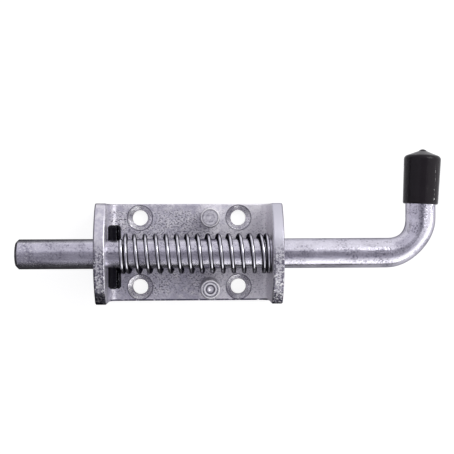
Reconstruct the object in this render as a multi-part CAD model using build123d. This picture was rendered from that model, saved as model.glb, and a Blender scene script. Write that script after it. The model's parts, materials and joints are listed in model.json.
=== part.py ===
"""Spring bolt: a round bolt with a bent handle, pushed out through a folded base by a compression spring.

Frame, in mm: X runs along the bolt towards the handle, Y across the base towards the handle's tip, and Z up
from the surface the base is screwed to. The origin is the middle of the four screw holes on the underside.
"""

import math
import os

from build123d import *

# Bolt rod
ROD_DIAMETER = 16.0
ROD_NOSE_CHAMFER = 1.5
ROD_END_CHAMFER = 1.5
ROD_RUNNING_CLEARANCE = 0.08
NOSE_REACH = 42.0
HANDLE_REACH = 75.2
HANDLE_BEND_RADIUS = 18.8
BEND_THINNING = 1.7
BEND_SPREAD = 0.6
BEND_SECTIONS = 7

# Base plate, one folded sheet
SHEET_THICKNESS = 6.0
INSIDE_SPAN = 88.1
BEND_INNER_RADIUS = 4.0
EDGE_MARGIN = 0.75
FLANGE_TOP_WALL = 6.6
FLANGE_SHOULDER_DROP = 11.4
FLANGE_CORNER_RADIUS = 4.0
EDGE_ROUNDING = 0.8

# Screw holes
SCREW_HOLE_DIAMETER = 8.6
COUNTERSINK_DIAMETER = 14.0
COUNTERSINK_ANGLE = 90.0
SCREW_HOLE_INSET = 16.55

# Slotted spring pin through the rod
PIN_DIAMETER = 7.0
PIN_WALL = 1.2
PIN_SLOT = 1.1
PIN_SLOT_TURN = 33.0
PIN_LONG_SIDE = 18.6
PIN_SHORT_SIDE = 15.4
PIN_END_CHAMFER = 1.0
PIN_REST_GAP = 0.6
PIN_TO_PLATE = 1.1
PIN_PRESS = 0.02

# Compression spring
SPRING_WIRE = 2.2
SPRING_TO_ROD = 0.7
SPRING_TURNS = 15.5
SPRING_CLOSED_TURNS = 1.25
SPRING_CLOSED_GAP = 0.22
SPRING_SEAT_GAP = 0.1
SPRING_START_ANGLE = 25.0
SPRING_SEAT_ANGLE = 180.0
SPRING_POINTS_PER_TURN = 12

# Stop studs riveted into the base
STUD_DIAMETER = 10.8
STUD_RIM_CHAMFER = 0.6
STUD_ABOVE_AXIS = 1.0
STUD_SHOULDER = 1.4
STUD_TO_SPRING = 3.0
STUD_TO_COUNTERSINK = 3.8
STUD_PRESS = 0.02
STUD_LAND_WIDTH = 0.8
STUD_GROOVE_WIDTH = 0.4
STUD_GROOVE_DEPTH = 0.4
STUD_RING_WIDTH = 0.8
STUD_RECESS_DEPTH = 0.5
STUD_DRILL_DIAMETER = 2.2
STUD_DRILL_DEPTH = 0.9

# Dipped cap on the handle
CAP_MOUTH_FROM_AXIS = 26.2
CAP_LENGTH = 29.8
CAP_WALL = 1.4
CAP_SWELL = 0.5
CAP_MOUTH_ROUNDING = 0.9
CAP_SHOULDER_ROUNDING = 2.4
CAP_CONE_HEIGHT = 3.0
CAP_NIPPLE_RADIUS = 2.2
CAP_NIPPLE_HEIGHT = 1.0
CAP_END_WALL = 1.6
CAP_LEAN = 2.7
CAP_PRESS = 0.02

# Sizes that follow from the ones above
ROD_RADIUS = ROD_DIAMETER / 2
PIN_RADIUS = PIN_DIAMETER / 2
STUD_RADIUS = STUD_DIAMETER / 2
SPIGOT_RADIUS = STUD_RADIUS - STUD_SHOULDER
PIN_SWEEP = math.hypot(PIN_LONG_SIDE, PIN_RADIUS)
AXIS_HEIGHT = SHEET_THICKNESS + PIN_SWEEP + PIN_TO_PLATE
SPRING_RADIUS = ROD_RADIUS + SPRING_TO_ROD + SPRING_WIRE / 2
ROW_OFFSET = SPRING_RADIUS + SPRING_WIRE / 2 + STUD_TO_SPRING + STUD_RADIUS
PLATE_WIDTH = 2 * (ROW_OFFSET + COUNTERSINK_DIAMETER / 2 + EDGE_MARGIN)
INNER_FACE = INSIDE_SPAN / 2
OUTER_FACE = INNER_FACE + SHEET_THICKNESS
FLANGE_TOP = AXIS_HEIGHT + ROD_RADIUS + ROD_RUNNING_CLEARANCE + FLANGE_TOP_WALL
SCREW_HOLE_X = INNER_FACE - SCREW_HOLE_INSET
PIN_X = -INNER_FACE + PIN_REST_GAP + PIN_RADIUS
STUD_X = SCREW_HOLE_X - COUNTERSINK_DIAMETER / 2 - STUD_TO_COUNTERSINK - STUD_RADIUS
NOSE_X = -OUTER_FACE - NOSE_REACH
LEG_X = OUTER_FACE + HANDLE_REACH
CLOSED_PITCH = SPRING_WIRE + SPRING_CLOSED_GAP
SEAT_TURNS = (SPRING_SEAT_ANGLE - SPRING_START_ANGLE) / 360
SPRING_START = PIN_X + PIN_RADIUS + SPRING_SEAT_GAP + SPRING_WIRE / 2 - SEAT_TURNS * CLOSED_PITCH
SPRING_END = INNER_FACE - SPRING_SEAT_GAP - SPRING_WIRE / 2
LEG_END = CAP_MOUTH_FROM_AXIS + CAP_LENGTH - CAP_CONE_HEIGHT - CAP_NIPPLE_HEIGHT - CAP_END_WALL

# Two places nearer than this count as one
SAME_PLACE = 0.01


def along_x(radius, start, end):
    """A round bar along X, on the bolt's axis."""
    plane = Plane(origin=(start, 0, AXIS_HEIGHT), x_dir=(0, 1, 0), z_dir=(1, 0, 0))
    return extrude(plane * Circle(radius), end - start)


def along_y(radius, start, end, x):
    """A round bar along Y, at the height of the bolt's axis."""
    plane = Plane(origin=(x, start, AXIS_HEIGHT), x_dir=(1, 0, 0), z_dir=(0, 1, 0))
    return extrude(plane * Circle(radius), end - start)


def along_z(radius, start, end, x, y):
    """A round bar along Z."""
    return extrude(Plane(origin=(x, y, start)) * Circle(radius), end - start)


def turned(points, plane):
    """A turned piece: the outline is (radius, height) pairs, closed on the axis of the plane's Z."""
    outline = Polyline(*points, close=True)
    return plane * revolve(Plane.XZ * make_face(outline), Axis.Z)


# Base plate
def folded_sheet():
    """The sheet folded up at both ends, before its ends are shaped."""
    outer_radius = BEND_INNER_RADIUS + SHEET_THICKNESS
    outside = Pos(0, FLANGE_TOP / 2) * Rectangle(2 * OUTER_FACE, FLANGE_TOP)
    bends = outside.vertices().sort_by(Axis.Y)[:2]
    outside = fillet(bends, outer_radius)
    inside_height = FLANGE_TOP - SHEET_THICKNESS
    inside = Pos(0, SHEET_THICKNESS + inside_height / 2) * Rectangle(INSIDE_SPAN, inside_height)
    bends = inside.vertices().sort_by(Axis.Y)[:2]
    inside = fillet(bends, BEND_INNER_RADIUS)
    return extrude(Plane.XZ * (outside - inside), PLATE_WIDTH / 2, both=True)


def flange_outline():
    """The arched outline of both flanges, as a block that runs the length of the sheet."""
    half = PLATE_WIDTH / 2
    shoulder = FLANGE_TOP - FLANGE_SHOULDER_DROP
    arch = ThreePointArc((half, shoulder), (0, FLANGE_TOP), (-half, shoulder))
    sides = Polyline((-half, shoulder), (-half, 0), (half, 0), (half, shoulder))
    outline = make_face(arch + sides)
    outline = fillet(outline.vertices().sort_by(Axis.Y)[-2:], FLANGE_CORNER_RADIUS)
    return extrude(Plane.YZ * outline, OUTER_FACE, both=True)


def countersunk_hole(x, y):
    depth = (COUNTERSINK_DIAMETER - SCREW_HOLE_DIAMETER) / 2 / math.tan(math.radians(COUNTERSINK_ANGLE / 2))
    through = along_z(SCREW_HOLE_DIAMETER / 2, 0, SHEET_THICKNESS, x, y)
    sink = Cone(
        SCREW_HOLE_DIAMETER / 2,
        COUNTERSINK_DIAMETER / 2,
        depth,
        align=(Align.CENTER, Align.CENTER, Align.MAX),
    )
    return through + Pos(x, y, SHEET_THICKNESS) * sink


def base_plate():
    plate = folded_sheet() & flange_outline()
    rim = [edge for edge in plate.edges() if on_sheet_rim(edge)]
    plate = fillet(rim, EDGE_ROUNDING)
    plate -= along_x(ROD_RADIUS + ROD_RUNNING_CLEARANCE, -OUTER_FACE, OUTER_FACE)
    for x in (-SCREW_HOLE_X, SCREW_HOLE_X):
        for y in (-ROW_OFFSET, ROW_OFFSET):
            plate -= countersunk_hole(x, y)
    for y in (-ROW_OFFSET, ROW_OFFSET):
        plate -= along_z(SPIGOT_RADIUS - STUD_PRESS, 0, SHEET_THICKNESS, STUD_X, y)
    return plate


def on_sheet_rim(edge):
    """Whether an edge lies along the cut rim of the sheet, where its faces meet the cut."""
    low = edge.bounding_box().min
    high = edge.bounding_box().max
    level = high.Y - low.Y < SAME_PLACE
    crosses_sheet = level and edge.length <= SHEET_THICKNESS + SAME_PLACE
    on_side = level and abs(abs(low.Y) - PLATE_WIDTH / 2) < SAME_PLACE
    on_arch = low.Z > FLANGE_TOP - FLANGE_SHOULDER_DROP - FLANGE_CORNER_RADIUS - SAME_PLACE
    return (on_side or on_arch) and not crosses_sheet


# Bolt rod
def handle_bend():
    """The cold bend: the bar is squeezed thinner across the bend and spreads a little in height."""
    start = (LEG_X - HANDLE_BEND_RADIUS, 0, AXIS_HEIGHT)
    end = (LEG_X, HANDLE_BEND_RADIUS, AXIS_HEIGHT)
    path = TangentArc(start, end, tangent=(1, 0, 0))
    sections = []
    for number in range(BEND_SECTIONS):
        share = number / (BEND_SECTIONS - 1)
        squeeze = math.sin(math.pi * share) ** 2
        across = ROD_RADIUS - squeeze * BEND_THINNING / 2
        height = ROD_RADIUS + squeeze * BEND_SPREAD / 2
        plane = Plane(origin=path @ share, x_dir=(0, 0, 1), z_dir=path % share)
        sections.append(plane * Ellipse(height, across))
    return loft(sections)


def bolt_rod():
    rod = along_x(ROD_RADIUS, NOSE_X, LEG_X - HANDLE_BEND_RADIUS)
    rod += handle_bend()
    rod += along_y(ROD_RADIUS, HANDLE_BEND_RADIUS, LEG_END, LEG_X)
    nose = rod.edges().sort_by(Axis.X)[0]
    rod = chamfer(nose, ROD_NOSE_CHAMFER)
    leg_end = rod.edges().sort_by(Axis.Y)[-1]
    rod = chamfer(leg_end, ROD_END_CHAMFER)
    return rod - along_y(PIN_RADIUS - PIN_PRESS, -ROD_DIAMETER, ROD_DIAMETER, PIN_X)


# Slotted spring pin
def cross_pin():
    """A rolled sleeve along Y, slotted on the side away from the base and a little towards the spring."""
    length = PIN_LONG_SIDE + PIN_SHORT_SIDE
    plane = Plane(origin=(PIN_X, -PIN_LONG_SIDE, AXIS_HEIGHT), x_dir=(1, 0, 0), z_dir=(0, 1, 0))
    sleeve = Solid.make_cylinder(PIN_RADIUS, length, plane)
    sleeve = chamfer(sleeve.edges().filter_by(GeomType.CIRCLE), PIN_END_CHAMFER)
    sleeve -= Solid.make_cylinder(PIN_RADIUS - PIN_WALL, length, plane)
    slot = Pos(PIN_X, (PIN_SHORT_SIDE - PIN_LONG_SIDE) / 2, AXIS_HEIGHT) * (
        Rot(0, PIN_SLOT_TURN, 0) * (Pos(0, 0, PIN_RADIUS) * Box(PIN_SLOT, length, PIN_DIAMETER))
    )
    return sleeve - slot


# Compression spring
def spring_rise(turn):
    """How far along X the wire has climbed after this many turns, in mm."""
    open_turns = SPRING_TURNS - 2 * SPRING_CLOSED_TURNS
    open_pitch = (SPRING_END - SPRING_START - 2 * SPRING_CLOSED_TURNS * CLOSED_PITCH) / open_turns
    opened = min(max(turn - SPRING_CLOSED_TURNS, 0.0), open_turns)
    return (turn - opened) * CLOSED_PITCH + opened * open_pitch


def spring():
    """The wire starts beside the pin, seats on it where it comes round, and ends against the flange."""
    points = []
    steps = round(SPRING_TURNS * SPRING_POINTS_PER_TURN)
    for step in range(steps + 1):
        turn = SPRING_TURNS * step / steps
        angle = math.radians(SPRING_START_ANGLE + 360 * turn)
        x = SPRING_START + spring_rise(turn)
        points.append((x, SPRING_RADIUS * math.cos(angle), AXIS_HEIGHT + SPRING_RADIUS * math.sin(angle)))
    path = Spline(*points)
    section = Plane(origin=path @ 0, z_dir=path % 0) * Circle(SPRING_WIRE / 2)
    return sweep(section, path=path, is_frenet=True)


# Stop studs
def turned_end(top):
    """The turned marks on a stud's end face, from its rim in: groove, ring, recess and drill point."""
    groove_outer = STUD_RADIUS - STUD_RIM_CHAMFER - STUD_LAND_WIDTH
    groove_inner = groove_outer - STUD_GROOVE_WIDTH
    recess = groove_inner - STUD_RING_WIDTH
    recess_floor = top - STUD_RECESS_DEPTH
    return [
        (groove_outer, top),
        (groove_outer, top - STUD_GROOVE_DEPTH),
        (groove_inner, top - STUD_GROOVE_DEPTH),
        (groove_inner, top),
        (recess, top),
        (recess, recess_floor),
        (STUD_DRILL_DIAMETER / 2, recess_floor),
        (0, recess_floor - STUD_DRILL_DEPTH),
    ]


def stop_stud(y, end_face):
    """A round post whose spigot is pressed through the sheet and finishes flush with the underside."""
    top = AXIS_HEIGHT + STUD_ABOVE_AXIS
    outline = [
        (0, 0),
        (SPIGOT_RADIUS, 0),
        (SPIGOT_RADIUS, SHEET_THICKNESS),
        (STUD_RADIUS, SHEET_THICKNESS),
        (STUD_RADIUS, top - STUD_RIM_CHAMFER),
        (STUD_RADIUS - STUD_RIM_CHAMFER, top),
    ]
    return turned(outline + end_face(top), Plane(origin=(STUD_X, y, 0)))


def plain_end(top):
    """A stud's other end face, left flat."""
    return [(0, top)]


# Handle cap
def handle_cap():
    """A dipped cap that leans a little: it swells to a rounded shoulder, then a cone and a drip point."""
    mouth = ROD_RADIUS + CAP_WALL
    swell = mouth + CAP_SWELL
    nipple = CAP_LENGTH - CAP_NIPPLE_HEIGHT
    shoulder = nipple - CAP_CONE_HEIGHT
    side = Polyline((0, 0), (mouth, 0), (swell, shoulder), (CAP_NIPPLE_RADIUS, nipple))
    ball = (CAP_NIPPLE_RADIUS**2 + CAP_NIPPLE_HEIGHT**2) / (2 * CAP_NIPPLE_HEIGHT)
    halfway = math.asin(CAP_NIPPLE_RADIUS / ball) / 2
    middle = (ball * math.sin(halfway), CAP_LENGTH - ball * (1 - math.cos(halfway)))
    drip = ThreePointArc((CAP_NIPPLE_RADIUS, nipple), middle, (0, CAP_LENGTH))
    outline = make_face(side + drip + Line((0, CAP_LENGTH), (0, 0)))
    outline = fillet(outline.vertices().sort_by(Axis.X)[-1], CAP_SHOULDER_ROUNDING)
    outline = fillet(outline.vertices().sort_by(Axis.Y)[:2].sort_by(Axis.X)[-1], CAP_MOUTH_ROUNDING)
    lean = math.radians(CAP_LEAN)
    stance = Plane(
        origin=(LEG_X, CAP_MOUTH_FROM_AXIS, AXIS_HEIGHT),
        x_dir=(0, 0, 1),
        z_dir=(math.sin(lean), math.cos(lean), 0),
    )
    cap = stance * revolve(Plane.XZ * outline, Axis.Z)
    return cap - along_y(ROD_RADIUS - CAP_PRESS, 0, LEG_END, LEG_X)


def save(name, shape):
    shape.label = name
    export_step(shape, f"parts/{name}.step")


os.makedirs("parts", exist_ok=True)
save("base_plate", base_plate())
save("bolt_rod", bolt_rod())
save("cross_pin", cross_pin())
save("spring", spring())
save("upper_stop_stud", stop_stud(ROW_OFFSET, plain_end))
save("lower_stop_stud", stop_stud(-ROW_OFFSET, turned_end))
save("handle_cap", handle_cap())
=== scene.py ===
"""The visual model of the spring bolt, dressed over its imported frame, in metres and in the frame's axes."""

import json
import math
from types import SimpleNamespace

import bpy
from mathutils import Matrix, Vector


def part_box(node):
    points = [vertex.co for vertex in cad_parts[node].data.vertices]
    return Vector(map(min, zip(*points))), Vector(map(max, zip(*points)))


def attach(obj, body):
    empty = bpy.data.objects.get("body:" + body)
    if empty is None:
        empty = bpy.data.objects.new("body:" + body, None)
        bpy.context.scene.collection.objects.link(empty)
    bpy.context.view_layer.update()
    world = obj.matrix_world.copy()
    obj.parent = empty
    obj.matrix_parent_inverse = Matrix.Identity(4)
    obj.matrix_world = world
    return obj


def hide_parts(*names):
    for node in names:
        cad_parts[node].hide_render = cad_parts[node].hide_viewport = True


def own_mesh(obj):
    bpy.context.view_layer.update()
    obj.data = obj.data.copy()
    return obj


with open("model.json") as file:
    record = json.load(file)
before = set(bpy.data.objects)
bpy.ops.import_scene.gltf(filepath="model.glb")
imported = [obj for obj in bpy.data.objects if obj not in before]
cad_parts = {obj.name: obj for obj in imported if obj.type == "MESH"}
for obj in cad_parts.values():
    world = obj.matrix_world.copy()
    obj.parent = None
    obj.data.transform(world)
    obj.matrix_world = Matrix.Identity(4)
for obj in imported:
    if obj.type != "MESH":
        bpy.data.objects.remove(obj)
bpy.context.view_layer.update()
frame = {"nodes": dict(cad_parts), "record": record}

MM = 0.001

# Sizes and places that the frame gives
mounts = {mount["name"]: mount["dims"] for mount in frame["record"]["mounts"]}
rod_low, rod_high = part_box("bolt_rod")
plate_low, plate_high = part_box("base_plate")
spring_low, spring_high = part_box("spring")
stud_low, stud_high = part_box("upper_stop_stud")
AXIS_Z = (rod_low.z + rod_high.z) / 2
ROD_RADIUS = mounts["bolt_nose"]["r_mm"] * MM
HOLE_X = mounts["fixing_holes"]["spacing_x_mm"] / 2 * MM
HOLE_Y = mounts["fixing_holes"]["spacing_y_mm"] / 2 * MM
STUD_X = (stud_low.x + stud_high.x) / 2
STUD_Y = (stud_low.y + stud_high.y) / 2
STUD_RADIUS = (stud_high.x - stud_low.x) / 2

# Sizes of the solids that it doesn't give
SHEET = 6.0 * MM
SINK_RADIUS = 7.0 * MM
BEND_RADIUS = 18.8 * MM
GROOVE_RADIUS = 3.8 * MM
RECESS_RADIUS = 2.8 * MM
WIRE_RADIUS = 1.1 * MM
TURNS = 15.5
CLOSED_TURNS = 1.25
CLOSED_PITCH = 2.42 * MM
START_ANGLE = 25.0

# Places that follow from them
INNER_FACE = plate_high.x - SHEET
BEND_X = rod_high.x - ROD_RADIUS - BEND_RADIUS

# Mesh of the wire: its steps, and how many turns to either side give its direction
STEPS_PER_TURN = 48
CUT_STEPS = 2
WIRE_SIDES = 16
NUDGE = 0.01

# Camera, as the photograph was taken: from above, a little turned towards the handle
CAMERA_AT = (1.9 * MM, 18.3 * MM, 512.6 * MM)
CAMERA_LOOKS = (0.0379, -0.0084, -1.0)
CAMERA_ROLL = 0.0033
LENS = 71.8
SENSOR = 36.0
NEAREST = 0.01
FURTHEST = 20.0

# Lamps: where each stands and how wide it is, in metres, and its power in watts
KEY_SOFTBOX = ((0.92, 0.66, 0.95), 0.8, 8.0)
SIDE_LAMP = ((1.30, -0.06, 0.22), 0.05, 0.6)

# The levels that a noise mostly runs between
NOISE_LEVELS = (0.3, 0.7)

# How a rubbed edge is found: rays to a point, and the cosine of the turn between its real and rounded faces
EDGE_RAYS = 6
EDGE_TURN = (0.90, 0.99)


class Graph:
    """The nodes of one material or world, under short names that all of them share."""

    def __init__(self, tree, place="Object"):
        self.tree = tree
        self.place = self.add("ShaderNodeTexCoord").outputs[place]

    def add(self, kind, *values, **settings):
        """A new node with these settings, and these values in its first inputs."""
        made = self.tree.nodes.new(kind)
        for name, value in settings.items():
            setattr(made, name, value)
        for value, socket in zip(values, made.inputs):
            self.put(value, socket)
        return made

    def put(self, value, socket):
        """Links another node's output to the socket, or gives it a plain value."""
        if isinstance(value, bpy.types.NodeSocket):
            self.tree.links.new(value, socket)
        else:
            socket.default_value = value

    def split(self, vector):
        made = self.add("ShaderNodeSeparateXYZ", vector)
        return made.outputs["X"], made.outputs["Y"], made.outputs["Z"]

    def join(self, x, y, z):
        return self.add("ShaderNodeCombineXYZ", x, y, z).outputs[0]

    def calculate(self, kind, first, second=0.0):
        return self.add("ShaderNodeMath", first, second, operation=kind).outputs[0]

    def plus(self, first, second):
        return self.calculate("ADD", first, second)

    def minus(self, first, second):
        return self.calculate("SUBTRACT", first, second)

    def times(self, first, *others):
        for other in others:
            first = self.calculate("MULTIPLY", first, other)
        return first

    def larger(self, first, second):
        return self.calculate("MAXIMUM", first, second)

    def smaller(self, first, second):
        return self.calculate("MINIMUM", first, second)

    def unsigned(self, value):
        return self.calculate("ABSOLUTE", value)

    def without(self, share):
        """1 where the share is 0, and 0 where it is 1."""
        return self.minus(1.0, share)

    def length(self, x, y):
        return self.calculate("SQRT", self.plus(self.times(x, x), self.times(y, y)))

    def spread(self, value, low, high, to_low, to_high, smooth=True):
        """From to_low, where the value is low or less, to to_high, where it is high or more."""
        made = self.add("ShaderNodeMapRange")
        if smooth:
            made.interpolation_type = "SMOOTHSTEP"
        self.put(value, made.inputs["Value"])
        made.inputs["From Min"].default_value = low
        made.inputs["From Max"].default_value = high
        made.inputs["To Min"].default_value = to_low
        made.inputs["To Max"].default_value = to_high
        return made.outputs["Result"]

    def rise(self, value, low, high):
        """0 up to low, and 1 from high on."""
        return self.spread(value, low, high, 0.0, 1.0)

    def fall(self, value, low, high):
        """1 up to low, and 0 from high on."""
        return self.spread(value, low, high, 1.0, 0.0)

    def ring(self, distance, radius, width):
        """1 on a thin ring of this radius, fading to 0 at this width to either side."""
        return self.fall(self.unsigned(self.minus(distance, radius)), 0.0, width)

    def noise(self, size, detail=3.0, rough=0.5, where=None):
        """Smooth noise whose spots are about this size.

        A rise or fall between two of its levels picks out spots: the levels set how much they cover.
        """
        made = self.add("ShaderNodeTexNoise")
        self.put(where or self.place, made.inputs["Vector"])
        made.inputs["Scale"].default_value = 1.0 / size
        made.inputs["Detail"].default_value = detail
        made.inputs["Roughness"].default_value = rough
        return made.outputs["Fac"]

    def vary(self, noise, least, most):
        """From least to most with the noise."""
        return self.spread(noise, *NOISE_LEVELS, least, most)

    def mixed(self, kind, share, first, second):
        made = self.add("ShaderNodeMix", data_type=kind)
        self.put(share, made.inputs["Factor"])
        self.put(first, made.inputs["A"])
        self.put(second, made.inputs["B"])
        return made.outputs["Result"]

    def blend(self, share, first, second):
        """A number between two others."""
        return self.mixed("FLOAT", share, first, second)

    def mix(self, share, first, second):
        """A colour between two others."""
        return self.mixed("RGBA", share, first, second)

    def facing(self):
        """The direction that the surface faces."""
        return self.add("ShaderNodeNewGeometry").outputs["Normal"]

    def dot(self, first, second):
        return self.add("ShaderNodeVectorMath", first, second, operation="DOT_PRODUCT").outputs["Value"]

    def worn(self, radius):
        """Near 1 along the sharp edges, where plating rubs bright, and 0 on flat and gently curved faces."""
        rounded = self.add("ShaderNodeBevel", radius, samples=EDGE_RAYS)
        return self.fall(self.dot(rounded.outputs["Normal"], self.facing()), *EDGE_TURN)

    def bump(self, height, distance, strength=1.0, under=None):
        made = self.add("ShaderNodeBump")
        self.put(height, made.inputs["Height"])
        made.inputs["Distance"].default_value = distance
        made.inputs["Strength"].default_value = strength
        if under:
            self.put(under, made.inputs["Normal"])
        return made.outputs["Normal"]


def new_material(name):
    """An empty material and its graph."""
    made = bpy.data.materials.new(name)
    made.use_nodes = True
    made.node_tree.nodes.clear()
    return made, Graph(made.node_tree)


def finish(name):
    """A material with one shader, its graph and the shader."""
    made, g = new_material(name)
    shader = g.add("ShaderNodeBsdfPrincipled")
    g.add("ShaderNodeOutputMaterial", shader.outputs[0])
    return made, g, shader


# The brightest zinc, and what zinc reflects at a glancing angle
GLINT = (1.0, 0.99, 1.0, 1)
ZINC_TINT = (0.30, 0.30, 0.32, 1)


def metal(name, tint=ZINC_TINT):
    """A finish for a metal that reflects this tint at a glancing angle."""
    made, g, shader = finish(name)
    shader.inputs["Metallic"].default_value = 1.0
    shader.inputs["Specular Tint"].default_value = tint
    return made, g, shader


# Base plate: zinc over hot rolled sheet
SHEET_DULL = (0.64, 0.62, 0.71, 1)
SHEET_BRIGHT = (0.99, 0.97, 1.0, 1)
SHEET_SHEARED = (0.68, 0.67, 0.74, 1)
SHEET_SPECK = (0.15, 0.14, 0.20, 1)
SHEET_CORNER = (0.14, 0.13, 0.17, 1)
SHEET_SUNK = (0.66, 0.64, 0.72, 1)
SHEET_BURR = (0.14, 0.13, 0.18, 1)
# Painted shade on faces turned towards -Y
SHEET_FRONT_SHADE = (0.20, 0.19, 0.23, 1)
SHEET_RUBBED = (0.93, 0.92, 0.98, 1)
SHEET_UPRIGHT_TINT = (1.0, 1.0, 1.0, 1)
# Painted shade on the flanges' feet, darker on the left than on the right
FOOT_SHADE_LEFT = (0.02, 0.018, 0.028, 1)
FOOT_SHADE_RIGHT = (0.06, 0.055, 0.08, 1)

# Its looks change between these places along X
FROM_MIDDLE = (-1 * MM, 1 * MM)
SPECKS_THIN_OUT = (-10 * MM, 25 * MM)
AT_RIGHT_FLANGE = (INNER_FACE - 2 * MM, INNER_FACE - 1 * MM)

# And these to either side of the middle
PAST_INNER_FACE = (INNER_FACE - 0.2 * MM, INNER_FACE + 0.2 * MM)
FAR_OUT_ON_FLANGE = (INNER_FACE + 2 * MM, INNER_FACE + 4 * MM)
AT_OUTER_CORNER = (plate_high.x - 0.9 * MM, plate_high.x - 0.4 * MM)

# These across Y, the last of them to either side
SMOOTH_ABOVE = (2 * MM, 14 * MM)
PITS_BELOW = (-20 * MM, -10 * MM)
# Where the painted shade on the flanges' feet begins
FOOT_SHADE_BELOW = (-19.2 * MM, -17.6 * MM)
# Where the painted shade along the -Y rim begins
RIM_SHADE_BELOW = (plate_low.y + 0.8 * MM, plate_low.y + 1.2 * MM)
FEW_SPECKS_PAST = (22 * MM, 24.5 * MM)

# And these up from the underside and out from a countersink's middle
TOP_ABOVE = (2 * MM, 3 * MM)
SINK_WITHIN = (SINK_RADIUS - 0.15 * MM, SINK_RADIUS + 0.05 * MM)
CLEAR_OF_SINK = (SINK_RADIUS + 0.6 * MM, SINK_RADIUS + 1.2 * MM)
BURR_RADIUS = SINK_RADIUS + 0.05 * MM
BURR_WIDTH = 0.45 * MM

# Nicks beside the edges of the flanges' tops
NICKS_FROM_EDGE = 0.9 * MM
NICKS_WIDTH = 0.8 * MM


def sheet_places(g):
    """The base plate's noises, and where each kind of its surface is, as a share from 0 to 1."""
    at = SimpleNamespace()
    at.x, at.y, z = g.split(g.place)
    at.nx, at.ny, nz = g.split(g.facing())
    at.side = g.unsigned(at.x)
    at.clouds = g.noise(12 * MM, rough=0.55)
    at.mottle = g.noise(2.4 * MM, detail=4.0, rough=0.65)
    at.grain = g.noise(1.1 * MM, rough=0.6)
    rolled = g.noise(0.85 * MM, rough=0.7, where=g.join(g.times(at.x, 0.75), at.y, z))

    # The sheared tops of the flanges: smooth in their +Y half and pitted in the other
    at.flange = g.rise(at.side, *PAST_INNER_FACE)
    at.sheared = g.times(at.flange, g.fall(g.unsigned(at.nx), 0.5, 0.8))
    at.low_down = g.fall(g.plus(at.y, g.times(at.clouds, 10 * MM)), *SMOOTH_ABOVE)
    at.smooth = g.times(at.sheared, g.without(at.low_down))
    at.pitted = g.times(at.sheared, at.low_down)
    at.texture = g.blend(at.sheared, rolled, at.grain)

    # Painted shade along the top of the -Y rim, and the outer corners are dark; near that rim the flanges'
    # tops carry painted shade too
    at.lip = g.times(g.fall(at.y, *RIM_SHADE_BELOW), g.rise(at.mottle, 0.36, 0.46), g.rise(nz, 0.2, 0.5))
    outermost = g.rise(at.side, *AT_OUTER_CORNER)
    at.corner = g.times(outermost, g.rise(at.mottle, 0.30, 0.45), g.rise(nz, 0.2, 0.6))
    # Painted shade on the flanges' tops near the -Y rim, in patches, darker on the left half
    foot = g.fall(g.plus(at.y, g.times(at.mottle, 4 * MM)), *FOOT_SHADE_BELOW)
    patches = g.larger(g.fall(at.grain, 0.44, 0.54), g.spread(at.x, *FROM_MIDDLE, 0.8, 0.2))
    at.bare = g.times(g.rise(nz, 0.05, 0.35), foot, at.sheared, patches)

    # Countersinks, each with a broken burr round its rim
    at.from_hole = g.length(g.minus(at.side, HOLE_X), g.minus(g.unsigned(at.y), HOLE_Y))
    on_top = g.rise(z, *TOP_ABOVE)
    at.sunk = g.times(g.fall(at.from_hole, *SINK_WITHIN), on_top)
    broken = g.spread(at.mottle, 0.2, 0.5, 0.4, 1.0)
    at.burr = g.times(g.ring(at.from_hole, BURR_RADIUS, BURR_WIDTH), broken, on_top)
    return at


def sheet_rubbed(g, at):
    """Where the plating is rubbed bright: along the edges, but not round the holes or far out on the pits."""
    return g.times(
        g.worn(0.7 * MM),
        g.rise(at.mottle, 0.35, 0.60),
        g.rise(at.from_hole, *CLEAR_OF_SINK),
        g.without(g.times(g.rise(at.side, *FAR_OUT_ON_FLANGE), at.low_down)),
        g.spread(at.x, *AT_RIGHT_FLANGE, 1.0, 0.2),
        g.without(g.larger(at.lip, at.corner)),
    )


def sheet_specks(g, at):
    """Dark specks, fewer to the right and near the rims, with the nicks and pits of the flanges' tops, and
    the painted shade along the -Y rim.
    """
    patchy = g.rise(at.clouds, 0.40, 0.60)
    on_flat = g.times(
        g.blend(patchy, 0.62, 1.0),
        g.spread(at.x, *SPECKS_THIN_OUT, 1.0, 0.42),
        g.spread(g.unsigned(at.y), *FEW_SPECKS_PAST, 1.0, 0.35),
    )
    specks = g.times(g.fall(at.texture, 0.41, 0.48), g.blend(at.sheared, on_flat, 0.95), g.without(at.smooth))
    from_edge = g.smaller(g.minus(at.side, INNER_FACE), g.minus(plate_high.x, at.side))
    nicks = g.times(g.ring(from_edge, NICKS_FROM_EDGE, NICKS_WIDTH), g.rise(at.grain, 0.40, 0.46))
    specks = g.larger(specks, g.times(nicks, at.pitted))
    pits = g.times(g.fall(at.y, *PITS_BELOW), g.rise(at.grain, 0.46, 0.54))
    return g.larger(g.larger(specks, g.times(pits, at.sheared)), at.lip)


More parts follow.
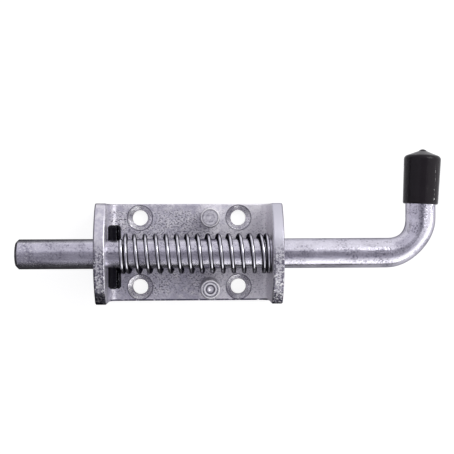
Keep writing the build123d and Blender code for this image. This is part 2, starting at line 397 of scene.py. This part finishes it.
def sheet_colour(g, at, rubbed):
    """The mottled zinc, lifted by painted light towards the right, and over it its marks one after another,
    some of them painted shade.
    """
    right_half = g.rise(at.x, *FROM_MIDDLE)
    # Painted light: the tone lifts towards the right flange
    painted_light_rightwards = g.times(g.rise(at.x, 0.0, INNER_FACE), g.without(at.flange))
    tone = g.plus(g.times(at.clouds, 0.45), g.times(at.mottle, 0.55))
    tone = g.rise(g.plus(tone, g.times(painted_light_rightwards, 0.24)), 0.38, 0.66)
    colour = g.mix(tone, SHEET_DULL, SHEET_BRIGHT)
    colour = g.mix(g.times(at.smooth, right_half), colour, SHEET_SHEARED)
    colour = g.mix(sheet_specks(g, at), colour, SHEET_SPECK)
    colour = g.mix(g.times(at.corner, 0.85), colour, SHEET_CORNER)
    glints = g.times(g.rise(at.grain, 0.54, 0.59), at.pitted)
    colour = g.mix(glints, colour, GLINT)
    colour = g.mix(at.sunk, colour, g.mix(g.rise(at.grain, 0.35, 0.62), SHEET_SUNK, GLINT))
    colour = g.mix(at.burr, colour, SHEET_BURR)
    # Painted shade on the faces turned towards -Y
    front_shade = g.times(g.fall(at.ny, -0.85, -0.45), g.rise(at.mottle, 0.35, 0.55), g.without(at.sunk))
    colour = g.mix(g.times(front_shade, 0.45), colour, SHEET_FRONT_SHADE)
    # Painted shade on the flanges' feet
    colour = g.mix(at.bare, colour, g.mix(right_half, FOOT_SHADE_LEFT, FOOT_SHADE_RIGHT))
    return g.mix(rubbed, colour, SHEET_RUBBED)


def sheet_roughness(g, at, rubbed):
    """Dull on the rolled faces, smoother where sheared, and smoothest where rubbed or turned."""
    rough = g.blend(rubbed, g.vary(at.mottle, 0.42, 0.54), 0.28)
    return g.blend(at.sunk, g.blend(at.sheared, rough, 0.38), 0.27)


def sheet_relief(g, at):
    """Broad waves, then mottling where the sheet isn't cut or turned, then its fine texture."""
    uncut = g.without(g.larger(at.sunk, at.smooth))
    waves = g.bump(at.clouds, 0.5 * MM, 0.5)
    uneven = g.bump(g.times(at.mottle, uncut), 0.30 * MM, 0.6, waves)
    return g.bump(g.times(at.texture, g.without(at.smooth)), 0.25 * MM, 0.8, uneven)


def zinc_sheet():
    """Zinc over hot rolled sheet: grainy faces, smoother sheared edges, turned countersinks."""
    made, g, shader = metal("zinc_sheet")
    at = sheet_places(g)
    rubbed = sheet_rubbed(g, at)
    g.put(sheet_colour(g, at, rubbed), shader.inputs["Base Color"])
    g.put(sheet_roughness(g, at, rubbed), shader.inputs["Roughness"])
    g.put(sheet_relief(g, at), shader.inputs["Normal"])
    upright = g.rise(g.unsigned(at.nx), 0.5, 0.9)
    g.put(g.mix(upright, ZINC_TINT, SHEET_UPRIGHT_TINT), shader.inputs["Specular Tint"])
    return made


# Bolt rod: bright zinc over drawn bar
BAR_DULL = (0.64, 0.62, 0.70, 1)
BAR_BRIGHT = (0.80, 0.78, 0.87, 1)
BAR_FLAKE = (0.18, 0.17, 0.23, 1)
BAR_RUBBED = (0.92, 0.91, 0.97, 1)
BEND_BEGINS = (60 * MM, BEND_X)
SCUFFS_THIN_OUT = (rod_low.x + 8 * MM, rod_low.x + 22 * MM)
STREAK_STRETCH = 0.06


def zinc_bar():
    """Bright zinc over drawn bar: streaks along the bar and round its bend, dark flakes and bright scuffs."""
    made, g, shader = metal("zinc_bar")
    x, y, z = g.split(g.place)
    past_x = g.larger(g.minus(x, BEND_X), 0.0)
    short_y = g.smaller(g.minus(y, BEND_RADIUS), 0.0)
    drawn = g.join(g.length(past_x, short_y), g.times(g.plus(x, y), STREAK_STRETCH), z)
    streaks = g.noise(0.9 * MM, rough=0.6, where=drawn)
    clouds = g.noise(8 * MM)
    mottle = g.noise(1.6 * MM, detail=4.0, rough=0.65)
    chips = g.noise(1.1 * MM, rough=0.7)
    bent = g.rise(g.plus(x, y), *BEND_BEGINS)
    flakes = g.fall(g.plus(chips, g.times(g.minus(clouds, 0.5), 0.5)), 0.34, 0.44)
    scuffs = g.times(g.rise(chips, 0.55, 0.63), g.spread(x, *SCUFFS_THIN_OUT, 1.0, 0.25), g.without(bent))
    rubbed = g.times(g.worn(0.6 * MM), g.rise(mottle, 0.30, 0.55))

    tone = g.rise(g.plus(g.times(streaks, 0.35), g.times(clouds, 0.65)), 0.36, 0.64)
    colour = g.mix(tone, BAR_DULL, BAR_BRIGHT)
    colour = g.mix(g.times(flakes, g.blend(bent, 0.50, 0.75)), colour, BAR_FLAKE)
    colour = g.mix(scuffs, colour, GLINT)
    g.put(g.mix(rubbed, colour, BAR_RUBBED), shader.inputs["Base Color"])
    g.put(g.vary(streaks, 0.16, 0.27), shader.inputs["Roughness"])

    waves = g.bump(clouds, 0.25 * MM, 0.5)
    lines = g.bump(streaks, 0.05 * MM, 0.5, waves)
    peel = g.times(g.plus(mottle, g.times(chips, 0.6)), g.blend(bent, 0.5, 1.0))
    g.put(g.bump(peel, 0.16 * MM, 0.6, lines), shader.inputs["Normal"])
    return made


# Studs: zinc over a turned end
STUD_DULL = (0.58, 0.56, 0.64, 1)
STUD_BRIGHT = (0.97, 0.95, 1.0, 1)
# Painted shade in the lower stud's groove and recess, and faint dark rings on the upper stud's plain end
STUD_DARK_RING = (0.10, 0.09, 0.12, 1)
STUD_RUBBED = (0.96, 0.95, 1.0, 1)

# Their rings, from the rim in: the land, the groove, the ring inside it, the recess and the drilled middle;
# painted highlight on the land, the inner ring and the middle, painted shade in the groove and recess
LAND_RADIUS = STUD_RADIUS - 0.55 * MM
LAND_WIDTH = 0.7 * MM
PLAIN_RING_RADIUS = STUD_RADIUS - 1.1 * MM
GROOVE_RING_RADIUS = GROOVE_RADIUS + 0.1 * MM
DARK_RING_WIDTH = 0.8 * MM
INNER_RING_RADIUS = RECESS_RADIUS + 0.3 * MM
INNER_RING_WIDTH = 0.5 * MM
RECESS_RING_RADIUS = RECESS_RADIUS - 0.6 * MM
DRILLED_WITHIN = (0.5 * MM, 1.1 * MM)
RIM_WITHIN = (STUD_RADIUS - 0.8 * MM, STUD_RADIUS + 0.2 * MM)


def turned_zinc():
    """Zinc over a turned end, with painted shade in the lower stud's groove and recess and painted highlights
    on its land, inner ring and middle; the rings are fainter on the upper one, but its land is as bright.
    """
    made, g, shader = metal("turned_zinc")
    x, y = g.split(g.place)[:2]
    from_axis = g.length(g.minus(x, STUD_X), g.minus(g.unsigned(y), STUD_Y))
    lower = g.fall(y, *FROM_MIDDLE)
    mottle = g.noise(1.5 * MM, detail=4.0, rough=0.65)
    grain = g.noise(0.8 * MM, rough=0.7)
    rubbed = g.times(g.worn(0.5 * MM), g.rise(mottle, 0.30, 0.55))

    # Painted shade in the groove and recess, faint on the upper stud's plain end
    groove = g.ring(from_axis, g.blend(lower, PLAIN_RING_RADIUS, GROOVE_RING_RADIUS), DARK_RING_WIDTH)
    groove = g.times(groove, g.blend(lower, 0.60, 0.95))
    recess = g.ring(from_axis, RECESS_RING_RADIUS, DARK_RING_WIDTH)
    recess = g.times(recess, g.blend(lower, 0.15, 0.95))
    middle = g.fall(from_axis, *DRILLED_WITHIN)
    inner = g.larger(g.ring(from_axis, INNER_RING_RADIUS, INNER_RING_WIDTH), middle)
    # Painted highlight on the land, and on the lower stud's inner ring and middle
    highlight_rings = g.ring(from_axis, LAND_RADIUS, LAND_WIDTH)
    highlight_rings = g.larger(highlight_rings, g.times(inner, g.blend(lower, 0.3, 0.9)))

    tone = g.rise(g.plus(g.times(grain, 0.5), g.times(mottle, 0.5)), 0.40, 0.50)
    colour = g.mix(tone, STUD_DULL, STUD_BRIGHT)
    colour = g.mix(g.larger(groove, recess), colour, STUD_DARK_RING)
    colour = g.mix(highlight_rings, colour, GLINT)
    g.put(g.mix(rubbed, colour, STUD_RUBBED), shader.inputs["Base Color"])
    g.put(g.blend(highlight_rings, g.vary(mottle, 0.28, 0.40), 0.75), shader.inputs["Roughness"])

    rounded = g.bump(g.fall(from_axis, *RIM_WITHIN), 0.45 * MM)
    g.put(g.bump(g.plus(mottle, grain), 0.12 * MM, 0.7, rounded), shader.inputs["Normal"])
    return made


# Spring: bright plated wire
# Painted shade down the wire's flanks and under the coil
WIRE_FLANK_SHADE = (0.055, 0.052, 0.064, 1)
WIRE_DULL = (0.67, 0.66, 0.72, 1)
WIRE_BRIGHT = (0.90, 0.89, 0.96, 1)
WIRE_TINT = (0.25, 0.25, 0.28, 1)
BRIGHT_ABOVE = (AXIS_Z + 2 * MM, AXIS_Z + 7 * MM)
LEFT_TO_RIGHT = (-22 * MM, 8 * MM)


def plated_wire():
    """Bright plated spring wire: its plated colour on the outside of the coil, where it is smoother, and
    painted shade down its flanks and underneath.
    """
    made, g, shader = metal("plated_wire", WIRE_TINT)
    x, y, z = g.split(g.place)
    from_axis = g.join(0.0, y, g.minus(z, AXIS_Z))
    outward = g.add("ShaderNodeVectorMath", from_axis, operation="NORMALIZE").outputs["Vector"]
    mottle = g.noise(1.5 * MM, rough=0.6)
    fine = g.noise(0.5 * MM, detail=2.0, rough=0.6)

    # Painted light: the plated colour shows most on top of the coil, and on its sides more at the left than
    # at the right; elsewhere painted shade
    above = g.spread(z, *BRIGHT_ABOVE, 0.45, 1.0)
    above = g.blend(g.rise(x, *LEFT_TO_RIGHT), g.larger(above, 0.75), above)
    outermost = g.rise(g.plus(g.dot(outward, g.facing()), g.times(mottle, 0.10)), 0.86, 1.03)
    lit_and_polished = g.times(outermost, above)
    bright = g.mix(mottle, WIRE_DULL, WIRE_BRIGHT)
    # Painted shade on the flanks, the plated colour on the outside of the coil
    g.put(g.mix(lit_and_polished, WIRE_FLANK_SHADE, bright), shader.inputs["Base Color"])
    g.put(g.blend(lit_and_polished, 0.34, 0.16), shader.inputs["Roughness"])
    g.put(g.bump(fine, 0.04 * MM, 0.5), shader.inputs["Normal"])
    return made


# Cross pin: blackened steel
PIN_DARK = (0.003, 0.003, 0.005, 1)
PIN_PALE = (0.008, 0.007, 0.011, 1)
PIN_RUBBED = (0.22, 0.22, 0.25, 1)
PIN_IOR = 1.20


def black_steel():
    """Blackened spring steel, satin, with its edges rubbed grey."""
    made, g, shader = finish("black_steel")
    mottle = g.noise(1.2 * MM, rough=0.6)
    rubbed = g.times(g.worn(0.4 * MM), g.rise(mottle, 0.45, 0.65))
    g.put(g.mix(rubbed, g.mix(mottle, PIN_DARK, PIN_PALE), PIN_RUBBED), shader.inputs["Base Color"])
    g.put(g.vary(mottle, 0.18, 0.30), shader.inputs["Roughness"])
    shader.inputs["IOR"].default_value = PIN_IOR
    g.put(g.bump(mottle, 0.03 * MM, 0.5), shader.inputs["Normal"])
    return made


# Handle cap: dipped vinyl
VINYL_DARK = (0.014, 0.0115, 0.014, 1)
VINYL_PALE = (0.021, 0.0175, 0.021, 1)
VINYL_IOR = 1.25


def black_vinyl():
    """Glossy black vinyl with the soft waves of dipping."""
    made, g, shader = finish("black_vinyl")
    waves = g.noise(7 * MM)
    grain = g.noise(0.8 * MM)
    g.put(g.mix(waves, VINYL_DARK, VINYL_PALE), shader.inputs["Base Color"])
    g.put(g.vary(grain, 0.09, 0.16), shader.inputs["Roughness"])
    shader.inputs["IOR"].default_value = VINYL_IOR
    soft = g.bump(waves, 0.9 * MM, 0.5)
    g.put(g.bump(grain, 0.01 * MM, 0.5, soft), shader.inputs["Normal"])
    return made


def dress(obj, look):
    """Gives the object this material alone."""
    obj.data.materials.clear()
    obj.data.materials.append(look)


def new_object(name, data):
    """An object in the scene."""
    obj = bpy.data.objects.new(name, data)
    bpy.context.scene.collection.objects.link(obj)
    return obj


def new_mesh(name, points, faces, look):
    """A mesh object of one material."""
    data = bpy.data.meshes.new(name)
    data.from_pydata(points, [], faces)
    data.update()
    obj = new_object(name, data)
    dress(obj, look)
    return obj


# Spring
def spring_rise(turn):
    """How far along X the wire has climbed after this many turns."""
    length = spring_high.x - spring_low.x - 2 * WIRE_RADIUS
    open_turns = TURNS - 2 * CLOSED_TURNS
    open_pitch = (length - 2 * CLOSED_TURNS * CLOSED_PITCH) / open_turns
    opened = min(max(turn - CLOSED_TURNS, 0.0), open_turns)
    return (turn - opened) * CLOSED_PITCH + opened * open_pitch


def spring_point(turn):
    """The middle of the wire after this many turns."""
    radius = (spring_high.y - spring_low.y) / 2 - WIRE_RADIUS
    angle = math.radians(START_ANGLE + 360 * turn)
    x = spring_low.x + WIRE_RADIUS + spring_rise(turn)
    return Vector((x, radius * math.cos(angle), AXIS_Z + radius * math.sin(angle)))


def wire_section(turn):
    """The ring of points round the wire after this many turns."""
    here = spring_point(turn)
    ahead = (spring_point(turn + NUDGE) - spring_point(turn - NUDGE)).normalized()
    outward = Vector((0, here.y, here.z - AXIS_Z)).normalized()
    outward = (outward - ahead * outward.dot(ahead)).normalized()
    side = ahead.cross(outward)
    angles = [2 * math.pi * k / WIRE_SIDES for k in range(WIRE_SIDES)]
    return [here + WIRE_RADIUS * (outward * math.cos(angle) + side * math.sin(angle)) for angle in angles]


def spring_piece(look):
    """The wire starts a few steps late, so that the pin clears its end when the bolt is turned right over."""
    steps = round(TURNS * STEPS_PER_TURN) - CUT_STEPS
    points = []
    faces = []
    for step in range(steps + 1):
        points += wire_section((step + CUT_STEPS) / STEPS_PER_TURN)
    for first in range(0, steps * WIRE_SIDES, WIRE_SIDES):
        for k in range(WIRE_SIDES):
            next_k = (k + 1) % WIRE_SIDES
            faces.append((first + k, first + next_k, first + WIRE_SIDES + next_k, first + WIRE_SIDES + k))
    faces.append(tuple(reversed(range(WIRE_SIDES))))
    faces.append(tuple(range(steps * WIRE_SIDES, (steps + 1) * WIRE_SIDES)))
    obj = new_mesh("spring_wire", points, faces, look)
    for face in obj.data.polygons:
        face.use_smooth = True
    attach(obj, "base")
    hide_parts("spring")
    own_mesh(obj)


# Floor: its size, its place, and what the camera and soft light see of it
FLOOR_HALF = 4.0
FLOOR_BELOW = 0.02 * MM
FLOOR_SEEN = (0.25, 0.25, 0.25, 1)
FLOOR_GLOW = 0.88
FLOOR_PAINT = (0.6, 0.6, 0.6, 1)

# What the metal reflects of it: a painted shadow, from dark on the left to pale on the right
REFLECTED_BETWEEN = (-0.10, 0.15)
REFLECTED_DARK = 0.05
REFLECTED_PALE = 0.80
REFLECTED_GLOW = 0.2


def floor_material():
    """White to the camera, with a painted shadow graded across it in mirror-like reflections, and plain paint
    to all other light.
    """
    made, g = new_material("floor_white")
    rays = g.add("ShaderNodeLightPath").outputs
    seen = g.larger(rays["Is Camera Ray"], rays["Is Transmission Ray"])
    shown = g.larger(seen, rays["Is Glossy Ray"])
    x, y = g.split(g.place)[:2]
    # Painted shadow, seen only in reflections: dark towards -X and -Y, pale towards +X and +Y
    painted_floor_shade = g.spread(g.plus(x, y), *REFLECTED_BETWEEN, REFLECTED_DARK, REFLECTED_PALE)
    paint = g.add("ShaderNodeBsdfDiffuse", FLOOR_PAINT)
    shade = g.add("ShaderNodeBsdfDiffuse", g.mix(seen, g.join(painted_floor_shade, painted_floor_shade, painted_floor_shade), FLOOR_SEEN))
    glow = g.add("ShaderNodeEmission")
    g.put(g.blend(seen, g.times(painted_floor_shade, REFLECTED_GLOW), FLOOR_GLOW), glow.inputs["Strength"])
    both = g.add("ShaderNodeAddShader", shade.outputs[0], glow.outputs[0])
    chosen = g.add("ShaderNodeMixShader", shown, paint.outputs[0], both.outputs[0])
    g.add("ShaderNodeOutputMaterial", chosen.outputs[0])
    return made


def floor():
    """A flat floor just under the part."""
    half = FLOOR_HALF
    corners = [(-half, -half, 0), (half, -half, 0), (half, half, 0), (-half, half, 0)]
    obj = new_mesh("floor", corners, [(0, 1, 2, 3)], floor_material())
    obj.location.z = -FLOOR_BELOW


# The studio's four quarters: height of the direction (0 at the horizon, 1 overhead) and brightness at each
NORTH_EAST = ((0.88, 0.97), (0.95, 0.26))
NORTH_WEST = ((0.86, 0.98), (0.64, 0.26))
SOUTH_EAST = ((0.30, 0.92), (1.80, 0.26))
SOUTH_WEST = ((0.12, 0.56), (0.03, 0.26))

# They meet between these directions, and their light is bluer where it is dim
WEST_TO_EAST = (-0.05, 0.12)
SOUTH_TO_NORTH = (-0.25, 0.02)
DIM_TO_BRIGHT = (0.3, 1.2)
DIM_LIGHT = (0.97, 0.945, 1.09, 1)
BRIGHT_LIGHT = (1.0, 1.0, 1.0, 1)


def studio():
    """The room's soft light, as the reflections in the photograph ask for it."""
    world = bpy.data.worlds.new("studio")
    bpy.context.scene.world = world
    world.use_nodes = True
    world.node_tree.nodes.clear()
    g = Graph(world.node_tree, "Generated")
    east, north, height = g.split(g.place)

    def quarter(shape):
        heights, levels = shape
        return g.spread(height, *heights, *levels, smooth=False)

    eastward = g.rise(east, *WEST_TO_EAST)
    southern = g.blend(eastward, quarter(SOUTH_WEST), quarter(SOUTH_EAST))
    northern = g.blend(eastward, quarter(NORTH_WEST), quarter(NORTH_EAST))
    light = g.blend(g.rise(north, *SOUTH_TO_NORTH), southern, northern)
    colour = g.mix(g.rise(light, *DIM_TO_BRIGHT), DIM_LIGHT, BRIGHT_LIGHT)
    room = g.add("ShaderNodeBackground", colour, light)
    g.add("ShaderNodeOutputWorld", room.outputs[0])


def softbox(name, place, width, power):
    """A square lamp that faces the origin."""
    lamp = bpy.data.lights.new(name, "AREA")
    lamp.size = width
    lamp.energy = power
    obj = new_object(name, lamp)
    obj.location = place
    obj.rotation_euler = (-Vector(place)).to_track_quat("-Z", "Y").to_euler()


def camera():
    """The photograph's view, with its axes worked out one by one so that it can be rolled."""
    lens = bpy.data.cameras.new("camera")
    lens.lens = LENS
    lens.sensor_width = SENSOR
    lens.clip_start = NEAREST
    lens.clip_end = FURTHEST
    obj = new_object("camera", lens)
    ahead = Vector(CAMERA_LOOKS).normalized()
    right = ahead.cross(Vector((math.sin(CAMERA_ROLL), math.cos(CAMERA_ROLL), 0))).normalized()
    up = right.cross(ahead)
    turn = Matrix((right, up, -ahead)).transposed().to_4x4()
    obj.matrix_world = Matrix.Translation(Vector(CAMERA_AT)) @ turn
    bpy.context.scene.camera = obj


turned = turned_zinc()
looks = {
    "base_plate": zinc_sheet(),
    "bolt_rod": zinc_bar(),
    "upper_stop_stud": turned,
    "lower_stop_stud": turned,
    "cross_pin": black_steel(),
    "handle_cap": black_vinyl(),
}
for node, look in looks.items():
    dress(frame["nodes"][node], look)
spring_piece(plated_wire())

floor()
studio()
softbox("key_softbox", *KEY_SOFTBOX)
softbox("side_lamp", *SIDE_LAMP)
camera()
bpy.context.scene.view_settings.view_transform = "Standard"
